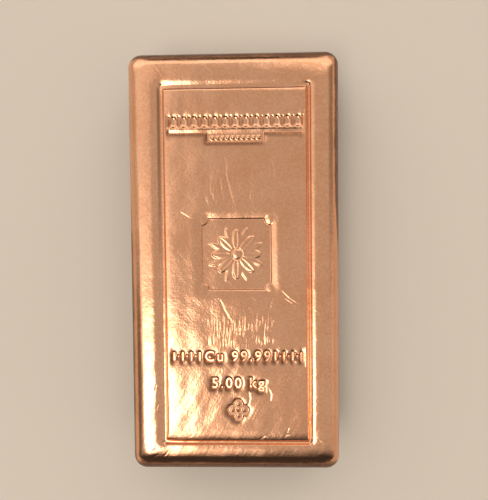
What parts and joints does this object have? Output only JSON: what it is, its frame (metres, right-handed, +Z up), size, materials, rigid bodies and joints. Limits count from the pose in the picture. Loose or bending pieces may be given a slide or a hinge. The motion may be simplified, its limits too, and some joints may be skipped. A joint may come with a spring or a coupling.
{
  "type": "copper ingot",
  "caption": "Rectangular copper ingot with drafted walls, a rolled shoulder and a struck top face: a groove frame round a cushioned panel with sunk rule and scooped square plaque.",
  "frame": {"origin": "middle of the base, on the surface that the ingot lies on", "axes": "+Z up to the struck face; +Y along the ingot's length, towards the end with the long rule; +X across its width"},
  "size_m": [0.092, 0.1834, 0.0348],
  "materials": {
    "copper": null
  },
  "bodies": {
    "root": {"ingot": "copper"}
  },
  "joints": []
}
